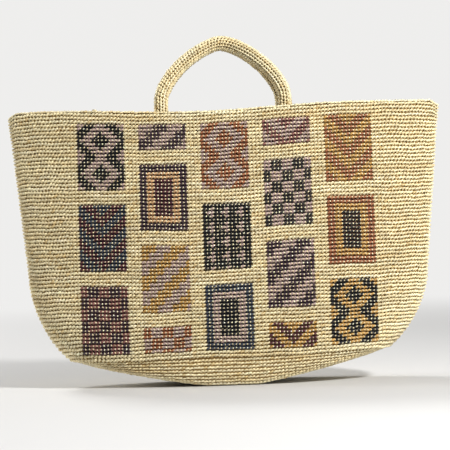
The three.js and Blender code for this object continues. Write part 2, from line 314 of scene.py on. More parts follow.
raffiaFinish = {
    "fibresAcross": 9.0,  # split fibres round one strand
    "fibreStretch": 1.3,
    "fibreContrast": 0.5,
    "endPaintedShade": 0.34,  # painted shade: how much darker a strand is where it dives into the cloth
    "endPower": 2.0,
    "leastRoughness": 0.4,
    "roughnessSpread": 0.3,
    "fibreRelief": 0.00016,
    "reliefStrength": 0.6,
}


def makeRaffia(name, finish):
    shade = Shade(bpy.data.materials.new(name))
    colour = shade.node("ShaderNodeAttribute", {"attribute_name": "yarn"}, None, "Color")
    strand = shade.node("ShaderNodeUVMap", {"uv_map": "strand"})
    stretch = (finish["fibresAcross"], finish["fibreStretch"], 1.0)
    fine = shade.node("ShaderNodeVectorMath", {"operation": "MULTIPLY"}, {0: strand, 1: stretch})
    fibres = shade.node("ShaderNodeTexNoise", None, {"Vector": fine, "Scale": 1.0, "Detail": 2.0})
    along = shade.node("ShaderNodeSeparateXYZ", None, {0: strand}, 1)
    share = shade.node("ShaderNodeMath", {"operation": "FRACT"}, {0: along})
    middle = share * (1 - share) * 4
    tip = 1 - (1 - middle) ** finish["endPower"]
    light = (fibres - 0.5) * (2 * finish["fibreContrast"]) + 1.0
    # painted shade darkens each strand towards its ends, where it dives into the cloth
    shaded = shade.tinted(colour, light * (tip * finish["endPaintedShade"] + (1 - finish["endPaintedShade"])))
    bump = {"Strength": finish["reliefStrength"], "Distance": finish["fibreRelief"], "Height": fibres}
    rough = (1 - fibres) * finish["roughnessSpread"] + finish["leastRoughness"]
    relief = shade.node("ShaderNodeBump", None, bump)
    return shade.finish({"Base Color": shaded, "Roughness": rough, "Normal": relief})


raffia = makeRaffia("naturalRaffia", raffiaFinish)
dyedFinish = {**raffiaFinish, "fibreContrast": 0.45, "leastRoughness": 0.36}
dyedRaffia = makeRaffia("dyedRaffia", dyedFinish)


# The cloth behind the stitches, seen only between them, coloured with painted shade
shadeClothFinish = {"grain": 900.0, "contrast": 0.5, "roughness": 0.85}


def makeShadeCloth(name, finish):
    shade = Shade(bpy.data.materials.new(name))
    colour = shade.node("ShaderNodeAttribute", {"attribute_name": "yarn"}, None, "Color")
    place = shade.node("ShaderNodeTexCoord", None, None, "Object")
    grain = shade.node(
        "ShaderNodeTexNoise", None, {"Vector": place, "Scale": finish["grain"], "Detail": 2.0}
    )
    light = (grain - 0.5) * (2 * finish["contrast"]) + 1.0
    return shade.finish(
        {"Base Color": shade.tinted(colour, light), "Roughness": finish["roughness"]}
    )


# the material of the sheets of painted shade between and under the stitches
pith = makeShadeCloth("paintedShadeCloth", shadeClothFinish)
print("finishes made")


# A strand shape: lozenges in millimetres, each from a low to a high end
# (across the stitch, up it, out of the cloth), with its half width and half thickness
def strandShape(lozenges):
    bm = bmesh.new()
    layer = bm.loops.layers.uv.new("strand")
    legOf = bm.verts.layers.int.new("leg")
    for number, (low, high, halfWidth, halfThick) in enumerate(lozenges):
        low, high = Vector(low), Vector(high)
        made = bmesh.ops.create_uvsphere(
            bm, u_segments=5, v_segments=3, radius=1.0, calc_uvs=True
        )["verts"]
        lengthwise = (high - low) / 2
        across = lengthwise.cross(Vector((0, 0, 1))).normalized()
        outward = across.cross(lengthwise).normalized() * halfThick
        turn = Matrix((across * halfWidth, outward, lengthwise)).transposed()
        bmesh.ops.transform(bm, matrix=turn.to_4x4(), verts=made)
        bmesh.ops.translate(bm, vec=(low + high) / 2, verts=made)
        for vert in made:
            vert[legOf] = number
    bmesh.ops.recalc_face_normals(bm, faces=bm.faces)
    bmesh.ops.triangulate(bm, faces=bm.faces)
    bm.verts.index_update()
    shape = {
        "co": np.array([vert.co for vert in bm.verts]) * millimetre,
        "tris": np.array([[vert.index for vert in face.verts] for face in bm.faces]),
        "uv": np.array([loop[layer].uv for face in bm.faces for loop in face.loops]),
        "leg": np.array([vert[legOf] for vert in bm.verts]),
        "legs": len(lozenges),
    }
    bm.free()
    return shape


bakeMargin = 0.06  # clear edge of each strand's cell on the bake sheet, as a share of the cell


# Lays copies of a strand shape on the cloth and joins them in one piece
def layStrands(name, shape, places, colours, material, body="bag"):
    count, corners = len(places["at"]), len(shape["co"])
    local = shape["co"][None]
    co = (
        places["at"][:, None]
        + places["along"][:, None] * (local[..., 0] * places["wide"][:, None])[..., None]
        + places["up"][:, None] * (local[..., 1] * places["tall"][:, None])[..., None]
        + places["out"][:, None] * local[..., 2:]
    )
    tris = shape["tris"][None] + (np.arange(count) * corners)[:, None, None]
    mesh = bpy.data.meshes.new(name)
    mesh.from_pydata(co.reshape(-1, 3), [], tris.reshape(-1, 3))
    cell = np.arange(count)[:, None] * shape["legs"] + shape["leg"][shape["tris"].ravel()][None]
    side = math.ceil(math.sqrt(count * shape["legs"]))
    corner = np.stack([cell % side, cell // side], -1)
    strand = corner + shape["uv"][None]
    mesh.uv_layers.new(name="strand").data.foreach_set("uv", strand.astype(np.float32).ravel())
    bake = (corner + bakeMargin + (1 - 2 * bakeMargin) * shape["uv"][None]) / side
    mesh.uv_layers.new(name="OFBake").data.foreach_set("uv", bake.astype(np.float32).ravel())
    tint = np.ones((count, corners, 4), np.float32)
    tint[..., :3] = colours[:, shape["leg"]]
    mesh.attributes.new("yarn", "FLOAT_COLOR", "POINT").data.foreach_set("color", tint.ravel())
    mesh.polygons.foreach_set("use_smooth", np.ones(len(mesh.polygons), bool))
    mesh.materials.append(material)
    piece = bpy.data.objects.new(name, mesh)
    scene.collection.objects.link(piece)
    if body:
        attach(piece, body)
    return piece


# One tight single crochet: a slanting ridge strand, and the post under it
crochet = {
    "stitch": 0.003765,
    "round": 0.00385,
    "ridge": ((-2.6, -1.05, -0.85), (2.6, 1.0, -0.65), 1.25, 1.7),
    "post": ((-1.25, -2.5, -1.9), (0.3, 0.2, -1.5), 0.9, 0.95),
    "dot": ((1.6, -0.8, -0.15), (2.0, 0.95, -0.15), 0.98, 0.95),
    "jitter": 0.00016,
    "lean": 0.06,
    "wideSpread": 0.04,
    "tallSpread": 0.05,
}
plainStitch = strandShape([crochet["ridge"], crochet["post"]])
dyedStitch = strandShape([crochet["ridge"], crochet["post"], crochet["dot"]])
innerBar = strandShape([((-2.3, -0.3, -0.9), (2.3, 0.3, -0.9), 1.5, 1.1)])


def loosen(places, amount=1.0):
    # hand-made unevenness: each stitch sits and leans a little differently
    count = len(places["at"])
    shift = dice.normal(0, crochet["jitter"] * amount, (count, 3))
    turn = dice.normal(0, crochet["lean"] * amount, count)[:, None]
    along, up, out = places["along"], places["up"], places["out"]
    places["at"] = places["at"] + along * shift[:, :1] + up * shift[:, 1:2] + out * shift[:, 2:]
    places["along"] = along * np.cos(turn) + up * np.sin(turn)
    places["up"] = up * np.cos(turn) - along * np.sin(turn)
    places["wide"] = places["wide"] * dice.normal(1, crochet["wideSpread"] * amount, count)
    places["tall"] = places["tall"] * dice.normal(1, crochet["tallSpread"] * amount, count)
    return places


# How much the yarn's tone changes, and how far the undyed yarn goes to straw and to pith
tone = {
    "slow": 0.05,
    "slowStitches": 8,
    "stitch": 0.05,
    "strand": 0.04,
    "least": 0.004,
    "most": 0.95,
}
undyed = {
    "golden": 0.25,
    "goldenSpread": 0.2,
    "goldenStitches": 11,
    "goldenMost": 0.8,
    "ripe": 0.9,
    "ripeShare": 0.04,  # a few darker fibres
    "paleSpread": 0.15,
    "paleStitches": 5,
    "paleMost": 0.5,
}


def alongYarn(count, stitches):
    # a slow change of tone along the yarn
    turns = dice.normal(0, 1, count // stitches + 3)
    return np.interp(np.arange(count) / stitches, np.arange(len(turns)), turns)[:, None]


def yarnShades(base, legs):
    # each stitch has its own shade, and its strands differ a little
    count = len(base)
    slow = 1 + tone["slow"] * alongYarn(count, tone["slowStitches"])[:, :, None]
    stitches = dice.normal(1, tone["stitch"], (count, 1, 1))
    strands = dice.normal(1, tone["strand"], (count, legs, 1))
    return np.clip(base[:, None] * (slow * stitches * strands), tone["least"], tone["most"])


def naturalShades(count, legs):
    u = undyed
    golden = u["golden"] + u["goldenSpread"] * alongYarn(count, u["goldenStitches"])
    golden = np.clip(golden, 0, u["goldenMost"])
    golden = np.where(dice.random((count, 1)) < u["ripeShare"], u["ripe"], golden)
    pale = np.clip(u["paleSpread"] * alongYarn(count, u["paleStitches"]), 0, u["paleMost"])
    base = mix(mix(yarn["natural"], yarn["straw"], golden), yarn["pith"], pale)
    return yarnShades(base, legs)


# Where the stitches of one wall round stand: in columns across the field, then on round the ends
field = {
    "columns": 41,
    "blockStitches": 13,
    "blockRounds": (7, 18),
    "beyond": 999,  # column number of the stitches outside the field
    "drift": 0.45,  # rounds spiral, so their ends don't line up
    "driftTurn": 2.4,
}
# Rounds that aren't quite level: waves round the bag, their shift from round to round, their share
wander = {"height": 0.00028, "waves": ((7, 0.11, 1.4), (23, -0.17, 1.0))}
quarterTurn = np.linspace(-math.pi / 2, 0, 1600)


def wallRound(reach, number):
    points = bodyPoint(quarterTurn, reach)
    run = runAlong(points)
    stitch = crochet["stitch"]
    columns = np.arange(1, field["columns"] + 1)
    fieldEdge = np.interp((field["columns"] + 0.5) * stitch, points[:, 0], run)
    fieldRun = np.interp(columns * stitch, points[:, 0], run)
    sideCount = max(1, round((run[-1] - fieldEdge) / stitch))
    sideWidth = (run[-1] - fieldEdge) / sideCount
    place = (np.arange(sideCount) + 0.5) / sideCount
    drift = field["drift"] * math.sin(field["driftTurn"] * number) * np.sin(math.pi * place)
    sideRun = fieldEdge + place * (run[-1] - fieldEdge) + drift * sideWidth
    angle = np.interp(np.concatenate([fieldRun, sideRun]), run, quarterTurn)
    wide = np.concatenate([np.ones(len(columns)), np.full(sideCount, sideWidth / stitch)])
    column = np.concatenate([columns, np.full(sideCount, field["beyond"])])
    front = np.concatenate([(-math.pi - angle)[::-1], [-math.pi / 2], angle])
    return {
        "angle": np.concatenate([front, -front]),
        "wide": np.tile(np.concatenate([wide[::-1], [1], wide]), 2),
        "column": np.tile(np.concatenate([-column[::-1], [0], column]), 2),
        "front": np.repeat([True, False], len(front)),
    }


wallTop = bagForm["rimHeight"] - bagForm["rimBand"]
wallRounds = int((wallTop - bagForm["baseEdge"]) / crochet["round"])


def reachOfRound(roundFromTop):
    z = wallTop - (roundFromTop + 0.5) * crochet["round"]
    return bagForm["baseHalfDepth"] + z - bagForm["baseEdge"]


def joinPlaces(found):
    return {key: np.concatenate([places[key] for places in found]) for key in found[0]}


def pick(places, chosen):
    return {key: value[chosen] for key, value in places.items()}


def layOut(rounds, depth):
    half = crochet["round"] / 2
    found = []
    for number in rounds:
        reach = reachOfRound(number)
        row = wallRound(reach, number)
        angle = row["angle"]
        wave = sum(
            share * np.sin(angle * waves + number * shift) for waves, shift, share in wander["waves"]
        )
        places = bodyFrames(angle, reach + wander["height"] * wave, depth)
        rise = bodyPoint(angle, reach + half) - bodyPoint(angle, reach - half)
        places["tall"] = np.linalg.norm(rise, axis=1) / crochet["round"]
        places["round"] = np.full(len(angle), number)
        found.append({**places, **row})
    return joinPlaces(found)


# Colour-worked blocks: half-drop columns of generic motifs
middleStitch = field["blockStitches"] // 2
lastStitch = field["blockStitches"] - 1


def checks(c, r, rows):
    return ((c + 1) // 3 + r // 3) % 2


def diamonds(c, r, rows):
    return (abs(c - middleStitch) + abs(r % 9 - 4)) // 3 % 2


def chevrons(c, r, rows):
    return (r + abs(c - middleStitch)) // 3 % 2


def frames(c, r, rows):
    inset = min(c, lastStitch - c, r, rows - 1 - r)
    return 0 if inset < 2 else 1 if inset < 4 else 2


def steps(c, r, rows):
    return (c // 2 + r // 2) // 2 % 2


def crosses(c, r, rows):
    return int(abs((c + 1) % 4 - 3) + abs(r % 4 - 2) <= 1)


blocks = {
    "front_block_c1_1": (diamonds, ("charcoal", "mauve")),
    "front_block_c1_2": (chevrons, ("slate", "maroon")),
    "front_block_c1_3": (checks, ("rose", "plum")),
    "front_block_c2_1": (steps, ("mauve", "plum")),
    "front_block_c2_2": (frames, ("plum", "apricot", "maroon")),
    "front_block_c2_3": (steps, ("ochre", "mauve")),
    "front_block_c2_4": (checks, ("rust", "mauve")),
    "front_block_c3_1": (diamonds, ("rust", "mauve")),
    "front_block_c3_2": (crosses, ("charcoal", "mauve")),
    "front_block_c3_3": (frames, ("slate", "mauve", "charcoal")),
    "front_block_c4_1": (chevrons, ("rose", "mauve")),
    "front_block_c4_2": (checks, ("mauve", "charcoal")),
    "front_block_c4_3": (steps, ("plum", "mauve")),
    "front_block_c4_4": (chevrons, ("ochre", "maroon")),
    "front_block_c5_1": (chevrons, ("ochre", "rust")),
    "front_block_c5_2": (frames, ("rust", "ochre", "charcoal")),
    "front_block_c5_3": (diamonds, ("charcoal", "ochre")),
}
# The carried yarn peeps through the dyed stitches, and their posts lie deep, so they get painted shade
dyedWork = {"postPaintedShade": 0.6, "peepShade": 1.08, "peepSpread": 0.2, "peepLeast": 0.02}


# The stitches that a block covers, read from where its solid stands
def blockSpan(node):
    low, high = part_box(node)
    middle = round((low.x + high.x) / 2 / crochet["stitch"])
    hung = min(slumpAt(low.x, high.z), slumpAt(high.x, high.z))
    first = round((wallTop - high.z - hung) / crochet["round"])
    tall = (high.z - low.z) / crochet["round"]
    rounds = min(field["blockRounds"], key=lambda count: abs(count - tall))
    return middle - middleStitch, middle + middleStitch, first, first + rounds - 1


spans = {node: blockSpan(node) for node in blocks}


def inBlock(places, span):
    left, right, first, last = span
    across = (places["column"] >= left) & (places["column"] <= right)
    return places["front"] & across & (places["round"] >= first) & (places["round"] <= last)


def workedYarn(node, places):
    motif, colours = blocks[node]
    left, right, first, last = spans[node]
    shades = np.array([yarn[name] for name in colours])
    worked = [
        motif(int(c) - left, int(r) - first, last - first + 1)
        for c, r in zip(places["column"], places["round"])
    ]
    return shades[worked]


def buildBlock(node, places):
    dyed = yarnShades(workedYarn(node, places), dyedStitch["legs"])
    # painted shade on the dyed posts, which lie deep
    dyed[:, 1] *= dyedWork["postPaintedShade"]
    peeps = dice.normal(dyedWork["peepShade"], dyedWork["peepSpread"], (len(dyed), 1, 1))
    carried = naturalShades(len(dyed), 1) * peeps
    dyed[:, 2:] = np.clip(carried, dyedWork["peepLeast"], tone["most"])
    name = node.replace("front_block", "colour_block")
    piece = layStrands(name, dyedStitch, places, dyed, dyedRaffia)
    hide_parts(node)


wall = loosen(layOut(range(wallRounds), 0.0))
taken = np.zeros(len(wall["at"]), bool)
for node, span in spans.items():
    mine = inBlock(wall, span)
    taken |= mine
    buildBlock(node, pick(wall, mine))
print("colour blocks worked:", len(blocks), "with", int(taken.sum()), "stitches")

leftSide = wall["at"][:, 0] < 0
panels = {
    "wall_front_left": wall["front"] & leftSide & ~taken,
    "wall_front_right": wall["front"] & ~leftSide & ~taken,
    "wall_back_left": ~wall["front"] & leftSide,
    "wall_back_right": ~wall["front"] & ~leftSide,
}


# Here and there a gap shows dark, painted shade on the posts of a few stitches, and on the inside some
# of the dyed yarn shows
paintedShadeGaps = {"share": 0.025, "shade": 0.3}
inside = {"showThrough": 0.7, "inFromFace": 0.0004}


def buildNatural(name, shape, places, *nodes, worked=None):
    shades = naturalShades(len(places["at"]), shape["legs"])
    if worked is not None:
        shown = dice.random(len(worked)) < inside["showThrough"]
        dyedThrough = ~np.isnan(worked[:, 0]) & shown
        shades[dyedThrough] = yarnShades(worked[dyedThrough], shape["legs"])
    # painted shade: the posts of a few stitches are darkened as open gaps
    shades[dice.random(len(shades)) < paintedShadeGaps["share"], 1:] *= paintedShadeGaps["shade"]
    piece = layStrands(name, shape, places, shades, raffia)
    if nodes:
        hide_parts(*nodes)


for name, chosen in panels.items():
    buildNatural(name, plainStitch, pick(wall, chosen), "body_wall")
print("wall worked:", len(wall["at"]), "stitches in", wallRounds, "rounds")

# Stray ends of raffia that stand a little off the cloth
strays = {"count": 90, "shortest": 0.5, "longest": 1.3, "lift": 0.0006}
strayEnd = strandShape([((-3.0, -0.3, -1.2), (3.0, 0.5, 1.5), 0.17, 0.12)])


def layStrays():
    count = strays["count"]
    places = pick(wall, dice.choice(len(wall["at"]), count, replace=False))
    turn = dice.uniform(-math.pi, math.pi, count)[:, None]
    along, up = places["along"], places["up"]
    places["at"] = places["at"] + places["out"] * strays["lift"]
    places["along"] = along * np.cos(turn) + up * np.sin(turn)
    places["up"] = up * np.cos(turn) - along * np.sin(turn)
    places["wide"] = dice.uniform(strays["shortest"], strays["longest"], count)
    places["tall"] = np.ones(count)
    return places


buildNatural("stray_ends", strayEnd, layStrays())

# The wrong side of the cloth, inside the bag
insideDepth = bagForm["wallThickness"] - inside["inFromFace"]
lining = loosen(turnedInside(layOut(range(wallRounds), insideDepth)))
insideYarn = np.full((len(lining["at"]), 3), np.nan)
for node, span in spans.items():
    behind = inBlock(lining, span)
    insideYarn[behind] = workedYarn(node, pick(lining, behind))
front = lining["front"]
buildNatural("inside_front", innerBar, pick(lining, front), worked=insideYarn[front])
buildNatural("inside_back", innerBar, pick(lining, ~front))
print("inside worked")


# Base: rounds worked out from a middle chain, spaced evenly from it to the edge
baseRun = {
    "angles": 241,
    "steps": 300,
    "loopSteps": 4001,
    "shortOfEdge": 0.00001,
    "depth": 0.0013,
    "insideDepth": 0.0038,
}


def baseReaches():
    # one line for each round edge, with its reach at angles once round the base
    angle = np.linspace(-math.pi, math.pi, baseRun["angles"])
    edge = bagForm["baseHalfDepth"] - baseRun["shortOfEdge"]
    reach = np.linspace(0, edge, baseRun["steps"])
    runs = [runAlong(bodyPoint(np.full(len(reach), turn), reach)) for turn in angle]
    rounds = round(max(run[-1] for run in runs) / crochet["round"])
    share = np.linspace(0, 1, rounds + 1)
    return angle, np.array([np.interp(share * run[-1], run, reach) for run in runs]).T


baseAngle, baseEdges = baseReaches()


def layBase(depth):
    loop = np.linspace(-math.pi, math.pi, baseRun["loopSteps"])
    found = []
    for low, high in zip(baseEdges[:-1], baseEdges[1:]):
        middle = np.interp(loop, baseAngle, (low + high) / 2)
        run = runAlong(bodyPoint(loop, middle))
        count = round(run[-1] / crochet["stitch"])
        angle = np.interp((np.arange(count) + 0.5) * run[-1] / count, run, loop)
        inner, outer = (np.interp(angle, baseAngle, edge) for edge in (low, high))
        places = bodyFrames(angle, (inner + outer) / 2, depth)
        places["wide"] = np.full(count, run[-1] / count / crochet["stitch"])
        rise = bodyPoint(angle, outer) - bodyPoint(angle, inner)
        places["tall"] = np.linalg.norm(rise, axis=1) / crochet["round"]
        found.append(places)
    return joinPlaces(found)


under = loosen(layBase(baseRun["depth"]))
buildNatural("base_rounds", plainStitch, under, "base_oval")
above = loosen(turnedInside(layBase(baseRun["insideDepth"])))
buildNatural("base_inside", innerBar, above)
print("base worked:", len(under["at"]), "stitches in", len(baseEdges) - 1, "rounds")


# Cloth between the two faces of stitches, so that no light comes through, painted in shade as the dark
# seen in the gaps between stitches
backing = {
    "outerDepth": 0.0019,
    "innerDepth": 0.0026,
    # painted shade: how much the sheet's colour is darkened, all over and behind the blocks
    "shade": 0.8,
    "blockPaintedShade": 0.3,
    "sideColumns": 14,
    "leastReach": 0.0002,
    "weld": 0.00002,
}
rim = {"chainRise": 0.0028}


def backingColumns(reach):
    # angles of the columns of one round: stitch edges across the field, then on round the end
    points = bodyPoint(quarterTurn, reach)
    run = runAlong(points)
    edges = np.interp(np.arange(field["columns"] + 1) * crochet["stitch"], points[:, 0], run)
    sideRun = np.linspace(edges[-1], run[-1], backing["sideColumns"] + 1)[1:]
    quarter = np.interp(np.concatenate([edges, sideRun]), run, quarterTurn)
    front = np.concatenate([(-math.pi - quarter)[::-1], quarter[1:]])
    return np.concatenate([front, (-front)[::-1][1:]])  # round the front, then the back


def backingPaintedShades(columns, roundNumber):
    # painted shade: the gap colour, and behind the blocks their first yarn darkened
    shades = np.tile(yarn["shadow"], (len(columns), 1))
    for node, (left, right, first, last) in spans.items():
        if first <= roundNumber <= last:
            dyed = yarn[blocks[node][1][0]] * backing["blockPaintedShade"]
            shades[(columns >= left) & (columns <= right)] = dyed
    return shades


def buildGridPiece(name, co, shades):
    # a grid operator's sheet, moved to its rows and columns of points
    bm = bmesh.new()
    bm.loops.layers.uv.new("OFBake")
    tint = bm.verts.layers.float_color.new("yarn")
    rowCount, columnCount = co.shape[:2]
    grid = bmesh.ops.create_grid(
        bm, x_segments=columnCount - 1, y_segments=rowCount - 1, size=0.5, calc_uvs=True
    )["verts"]
    for vert in grid:
        column = round((vert.co.x + 0.5) * (columnCount - 1))
        row = round((vert.co.y + 0.5) * (rowCount - 1))
        vert.co = co[row, column]
        vert[tint] = (*shades[row, column], 1)
    bmesh.ops.remove_doubles(bm, verts=bm.verts, dist=backing["weld"])
    bmesh.ops.holes_fill(bm, edges=[edge for edge in bm.edges if edge.is_boundary], sides=0)
    bmesh.ops.recalc_face_normals(bm, faces=bm.faces)
    for face in bm.faces:
        face.smooth = True
    mesh = bpy.data.meshes.new(name)
    bm.to_mesh(mesh)
    bm.free()
    mesh.materials.append(pith)
    piece = bpy.data.objects.new(name, mesh)
    scene.collection.objects.link(piece)
    return piece


def buildBacking():
    rows = [(edge[len(edge) // 4], None) for edge in baseEdges[:-1]]
    rows += [(reachOfRound(n), n) for n in range(wallRounds - 1, -2, -1)]
    rows += [(reachOfRound(-1) + rim["chainRise"], None)]
    ends = np.full(backing["sideColumns"], field["beyond"])
    columns = np.concatenate([-ends, np.arange(-field["columns"], field["columns"] + 1), ends])
    sheets, shades = [], []
    for depth, order in ((backing["outerDepth"], rows), (backing["innerDepth"], rows[::-1])):
        for reach, number in order:
            angle = backingColumns(max(reach, backing["leastReach"]))
            at = bodyFrames(angle, np.full(len(angle), reach), depth)["at"]
            if reach == 0:
                at = bodyPoint(angle, np.zeros(len(angle))) + (0, 0, depth)
            shade = np.tile(yarn["shadow"], (len(angle), 1))
            if number is not None and depth == backing["outerDepth"]:
                shade[:len(columns)] = backingPaintedShades(columns, number)
            sheets.append(at)
            # the whole sheet is darkened further as painted shade
            shades.append(shade * backing["shade"])
    piece = buildGridPiece("cloth_backing", np.array(sheets), np.array(shades))
    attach(piece, "bag")
    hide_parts("body_wall", "base_oval")


buildBacking()
print("backing made")

# Rim: a firm last round, with the loops of its chain along the top
chainLoops = strandShape(
    [
        ((-2.5, -0.5, -0.7), (2.6, 0.5, -0.9), 1.2, 1.2),
        ((-2.6, 0.4, -2.9), (2.5, -0.4, -2.7), 1.2, 1.2),
    ]
)


def layChain():
    row = wallRound(reachOfRound(-1), -1)
    reach = np.full(len(row["angle"]), reachOfRound(-1) + rim["chainRise"])
    return {**bodyFrames(row["angle"], reach), **row, "tall": np.ones(len(reach))}


buildNatural("rim_round", plainStitch, loosen(layOut([-1], 0.0)), "rim_edging")
buildNatural("rim_inside", innerBar, loosen(turnedInside(layOut([-1], insideDepth))), "rim_edging")
buildNatural("rim_chain", chainLoops, loosen(layChain()), "rim_edging")
print("rim worked")


# Handles: rows of crochet run along a tube, from a flat toe up over the arch to the other toe
handle = {
    "rise": 0.060,
    "power": 1.5,
    "radius": 0.0068,
    "apexGap": 0.0008,
    "footLength": 0.027,
    "footProud": 0.0015,
    "toeHalfWidth": 0.0095,
    "toeHalfDepth": 0.0026,
    "footGap": 0.0003,
    "footPoints": 28,
    "archPoints": 241,
    "girthPoints": 181,
    "easing": 110,  # passes that ease the arch's top and the kink where it turns into the foot
    "rows": 12,
    "stitch": 0.00335,
    "firstStitch": 0.4,  # where a row's first stitch stands, in stitches
    "rowSlip": 0.3,  # how far each row's stitches lag behind the last, in stitches
    "looseness": 0.8,
    "sink": 0.0002,
    "tubeSink": 0.0020,
    "tubeSides": 16,
    "tubeStep": 6,
    "tubeClear": 4,
    "routeStep": 0.0005,
    "bendHalf": 0.007,  # height either side of the hinge
}


def faceDepth(x, z):
    # how far the outer face stands from the middle plane
    squareness = squarenessAt(z)
    across = np.abs(x) / halfWidthAt(z)
    return halfDepthAt(z) * (1 - across ** squareness) ** (1 / squareness)


def footRoute(side, x):
    up = np.linspace(0, 1, handle["footPoints"])
    z = bagForm["rimHeight"] + handle["footProud"] - handle["footLength"] * (1 - up)
    wide = mix(handle["toeHalfWidth"], handle["radius"], smooth(up))
    deep = mix(handle["toeHalfDepth"], handle["radius"], smooth(up))
    inset = bagForm["wallThickness"] + handle["footGap"] + deep
    y = side * (faceDepth(x, np.minimum(z + slumpAt(x, z), bagForm["rimHeight"])) - inset)
    return np.stack([np.full(len(up), x), y, z, wide, deep], 1)


def handleRoute(name, side, hinge):
    # points of the middle line with the half width and half depth there, from left toe to right toe
    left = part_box(name + "_left_foot")[0].x + handle["toeHalfWidth"]
    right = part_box(name + "_right_foot")[1].x - handle["toeHalfWidth"]
    lean = math.asin((abs(hinge[1]) - handle["radius"] - handle["apexGap"] / 2) / handle["rise"])
    turn = np.linspace(math.pi, 0, handle["archPoints"])
    power = 2 / handle["power"]
    across = np.sign(np.cos(turn)) * np.abs(np.cos(turn)) ** power
    height = handle["rise"] * np.abs(np.sin(turn)) ** power
    arch = np.stack(
        [
            (left + right) / 2 + (right - left) / 2 * across,
            hinge[1] - side * height * math.sin(lean),
            hinge[2] + height * math.cos(lean),
            np.full(len(turn), handle["radius"]),
            np.full(len(turn), handle["radius"]),
        ],
        1,
    )
    route = np.concatenate([footRoute(side, left), arch, footRoute(side, right)[::-1]])
    run = runAlong(route[:, :3])
    route = pointsAt(np.arange(0, run[-1], handle["routeStep"]), run, route)
    for _ in range(handle["easing"]):
        route[1:-1] = (route[:-2] + route[1:-1] * 2 + route[2:]) / 4
    return route


def tubeRow(route, sink, turn):
    # a line of points along the tube, a share of the way round its section
    ahead = unit(np.gradient(route[:, :3], axis=0))
    out = unit(np.cross(ahead, np.array([0.0, 1.0, 0.0])))
    sideways = np.cross(out, ahead)
    wide, deep = route[:, 3] - sink, route[:, 4] - sink
    fine = np.linspace(0, 2 * math.pi, handle["girthPoints"])
    ring = np.stack([np.outer(wide, np.cos(fine)), np.outer(deep, np.sin(fine))], -1)
    girth = np.cumsum(np.linalg.norm(np.diff(ring, axis=1), axis=2), axis=1)
    girth = np.concatenate([np.zeros((len(route), 1)), girth], 1)
    angle = np.array([np.interp(turn * g[-1], g, fine) for g in girth])
    cosine, sine = np.cos(angle)[:, None], np.sin(angle)[:, None]
    wide, deep = wide[:, None], deep[:, None]
    return {
        "at": route[:, :3] + out * wide * cosine + sideways * deep * sine,
        "along": ahead,
        "out": unit(out * cosine / wide + sideways * sine / deep),
        "girth": girth[:, -1],
    }


def laySleeve(route):
    found = []
    spacing = handle["stitch"] / handle["routeStep"]
    for row in range(handle["rows"]):
        line = tubeRow(route, handle["sink"], row / handle["rows"])
        stretch = np.linalg.norm(np.gradient(line["at"], axis=0), axis=1) / handle["routeStep"]
        start = spacing * (handle["firstStitch"] + handle["rowSlip"] * row % 1)
        station = np.arange(start, len(route) - 2, spacing).astype(int)
        up = np.cross(line["out"], line["along"])
        found.append(
            {
                "at": line["at"][station],
                "along": np.cross(up, line["out"])[station],
                "up": up[station],
                "out": line["out"][station],
                "wide": stretch[station] * handle["stitch"] / crochet["stitch"],
                "tall": line["girth"][station] / handle["rows"] / crochet["round"],
            }
        )
    return joinPlaces(found)


def buildHandle(name, side, joint):
    hinge = np.array(joint["pos_m"])
    route = handleRoute(name, side, hinge)
    places = loosen(laySleeve(route), handle["looseness"])
    shades = naturalShades(len(places["at"]), plainStitch["legs"])
    sleeve = layStrands(name + "_handle_stitches", plainStitch, places, shades, raffia, None)
    keep = np.arange(0, len(route) - handle["tubeClear"], handle["tubeStep"])
    keep = np.append(keep, len(route) - 1)
    sides = handle["tubeSides"]
    turns = np.arange(sides + 1) % sides / sides
    rings = np.array([tubeRow(route[keep], handle["tubeSink"], turn)["at"] for turn in turns])
    # painted shade: the tube under the sleeve stitches takes the dark colour of the shadowed gaps
    dark = np.tile(yarn["shadow"] * backing["shade"], (*rings.shape[:2], 1))
    tube = buildGridPiece(name + "_handle_tube", rings, dark)
    for piece in (sleeve, tube):
        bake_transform(piece)
    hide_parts(name + "_handle_sleeve", name + "_left_foot", name + "_right_foot")
    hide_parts(name + "_handle_core")


joints = {joint["child"]: joint for joint in frame["joints"]}
buildHandle("front", -1, joints["front_handle"])
buildHandle("back", 1, joints["back_handle"])
print("handles worked")

# Lashings: doubled strands over each foot, and the knot that ends the last round
ply = strandShape(
    [
        ((-1.6, -0.5, 0.0), (1.6, 0.1, 0.0), 0.55, 0.6),
        ((-1.6, 0.0, 0.1), (1.6, 0.6, -0.1), 0.55, 0.6),
    ]
)
lashing = {"step": 0.0018, "halfThick": 0.0009, "points": 60, "squareness": 0.7, "slant": 0.0006}


def layLashing(node, side):
    low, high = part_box(node)
    turn = np.linspace(0, math.pi, lashing["points"])
    atWall = max(abs(low.y), abs(high.y))
    overFoot = min(abs(low.y), abs(high.y)) + lashing["halfThick"]
    route = np.stack(
        [
            (low.x + high.x) / 2 + ((high.x - low.x) / 2 - lashing["halfThick"]) * np.cos(turn),
            side * mix(atWall, overFoot, np.sin(turn) ** lashing["squareness"]),
            (low.z + high.z) / 2 + lashing["slant"] * np.cos(turn),
        ],
        1,
    )
    run = runAlong(route)
    at = pointsAt(np.arange(0, run[-1], lashing["step"]), run, route)
    along = unit(np.gradient(at, axis=0))
    out = unit(np.cross(along, np.array([0.0, 0.0, 1.0])))
    out = np.where(out[:, 1:2] * side > 0, -out, out)
    up, ones = np.cross(out, along), np.ones(len(at))
    return {"at": at, "along": along, "up": up, "out": out, "wide": ones, "tall": ones}


for sideName, side in (("front", -1), ("back", 1)):
    for endName in ("left", "right"):
        nodes = [f"{sideName}_{endName}_lashing_{i}" for i in (1, 2, 3)]
        strands = joinPlaces([layLashing(node, side) for node in nodes])
        buildNatural(f"{sideName}_{endName}_lashing", ply, strands, *nodes)

knot = {
    "strands": 7,
    "wide": 1.5,
    "tall": 2.2,
    "sit": 0.0030,
    "deep": 0.6,
    "rise": 0.35,
    "tilt": 0.4,
}


